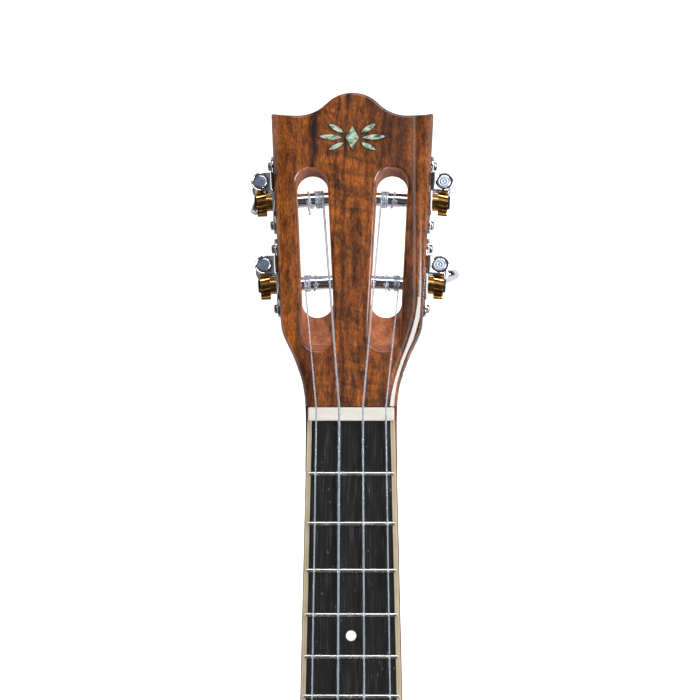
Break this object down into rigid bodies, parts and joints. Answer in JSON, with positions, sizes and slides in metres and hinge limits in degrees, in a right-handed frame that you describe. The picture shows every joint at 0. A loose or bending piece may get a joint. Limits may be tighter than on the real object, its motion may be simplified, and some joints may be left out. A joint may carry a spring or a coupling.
{
  "type": "ukulele",
  "caption": "Concert ukulele with a figured wood body, slotted head, bound fretboard and open geared tuners.",
  "frame": {"origin": "middle of the flat back, on its resting face", "axes": "+Z out of the soundboard, +Y towards the head, +X to the right seen from the front"},
  "size_m": [0.194, 0.6273, 0.0761],
  "materials": {
    "body_wood": "gloss lacquer over figured brown wood",
    "neck_wood": "satin lacquer over reddish wood",
    "inner_wood": "bare wood",
    "dark_wood": "oiled",
    "binding": "cream, polished",
    "bone": "polished off-white bone",
    "nickel_silver": "polished",
    "plated_metal": "mirror plating",
    "brass": "polished",
    "dark_screw": "black",
    "string": "translucent, pale",
    "shell": "iridescent green shell",
    "pearl": "white pearl"
  },
  "bodies": {
    "root": {"soundboard": "body_wood", "back_plate": "body_wood", "side_left": "body_wood", "side_right": "body_wood", "neck_block": "inner_wood", "tail_block": "inner_wood", "kerfed_linings": "inner_wood", "top_braces": "inner_wood", "back_braces": "inner_wood", "bridge_plate": "inner_wood", "body_bindings": "binding", "rosette": "shell", "bridge": "dark_wood", "saddle": "bone", "neck": "neck_wood", "heel_cap": "dark_wood", "head_veneer": "body_wood", "fretboard": "dark_wood", "fretboard_binding": "binding", "frets": "nickel_silver", "position_dots": "pearl", "nut": "bone", "string_g": "string", "string_c": "string", "string_e": "string", "string_a": "string", "head_inlay": "shell", "tuner_mount_screws": "plated_metal", "upper_left_plate": "plated_metal", "lower_left_plate": "plated_metal", "upper_right_plate": "plated_metal", "lower_right_plate": "plated_metal"},
    "upper_left_button_body": {"upper_left_worm": "plated_metal", "upper_left_button": "plated_metal", "upper_left_button_screw": "plated_metal"},
    "upper_left_post_body": {"upper_left_post": "plated_metal", "upper_left_gear": "brass", "upper_left_gear_screw": "dark_screw", "upper_left_string_wrap": "string"},
    "lower_left_button_body": {"lower_left_worm": "plated_metal", "lower_left_button": "plated_metal", "lower_left_button_screw": "plated_metal"},
    "lower_left_post_body": {"lower_left_post": "plated_metal", "lower_left_gear": "brass", "lower_left_gear_screw": "dark_screw", "lower_left_string_wrap": "string"},
    "upper_right_button_body": {"upper_right_worm": "plated_metal", "upper_right_button": "plated_metal", "upper_right_button_screw": "plated_metal"},
    "upper_right_post_body": {"upper_right_post": "plated_metal", "upper_right_gear": "brass", "upper_right_gear_screw": "dark_screw", "upper_right_string_wrap": "string"},
    "lower_right_button_body": {"lower_right_worm": "plated_metal", "lower_right_button": "plated_metal", "lower_right_button_screw": "plated_metal"},
    "lower_right_post_body": {"lower_right_post": "plated_metal", "lower_right_gear": "brass", "lower_right_gear_screw": "dark_screw", "lower_right_string_wrap": "string"}
  },
  "joints": [
    {"name": "upper_left_button_turn", "type": "hinge", "parent": "root", "child": "upper_left_button_body", "pos_m": [-0.038, 0.44818, 0.03547], "axis": [0, 0.2419, 0.9703], "continuous": true},
    {"name": "upper_left_post_turn", "type": "hinge", "parent": "root", "child": "upper_left_post_body", "pos_m": [-0.03192, 0.4415, 0.03713], "axis": [-0.9986, -0.0514, 0.0128], "continuous": true},
    {"name": "lower_left_button_turn", "type": "hinge", "parent": "root", "child": "lower_left_button_body", "pos_m": [-0.0361, 0.41354, 0.0441], "axis": [0, 0.2419, 0.9703], "continuous": true},
    {"name": "lower_left_post_turn", "type": "hinge", "parent": "root", "child": "lower_left_post_body", "pos_m": [-0.03003, 0.40686, 0.04577], "axis": [-0.9986, -0.0514, 0.0128], "continuous": true},
    {"name": "upper_right_button_turn", "type": "hinge", "parent": "root", "child": "upper_right_button_body", "pos_m": [0.038, 0.44818, 0.03547], "axis": [0, 0.2419, 0.9703], "continuous": true},
    {"name": "upper_right_post_turn", "type": "hinge", "parent": "root", "child": "upper_right_post_body", "pos_m": [0.03192, 0.4415, 0.03713], "axis": [0.9986, -0.0514, 0.0128], "continuous": true},
    {"name": "lower_right_button_turn", "type": "hinge", "parent": "root", "child": "lower_right_button_body", "pos_m": [0.0361, 0.41354, 0.0441], "axis": [0, 0.2419, 0.9703], "continuous": true},
    {"name": "lower_right_post_turn", "type": "hinge", "parent": "root", "child": "lower_right_post_body", "pos_m": [0.03003, 0.40686, 0.04577], "axis": [0.9986, -0.0514, 0.0128], "continuous": true}
  ],
  "couplings": [
    {"joint": "upper_left_post_turn", "follows": "upper_left_button_turn", "ratio": -0.055556},
    {"joint": "lower_left_post_turn", "follows": "lower_left_button_turn", "ratio": -0.055556},
    {"joint": "upper_right_post_turn", "follows": "upper_right_button_turn", "ratio": -0.055556},
    {"joint": "lower_right_post_turn", "follows": "lower_right_button_turn", "ratio": -0.055556}
  ]
}
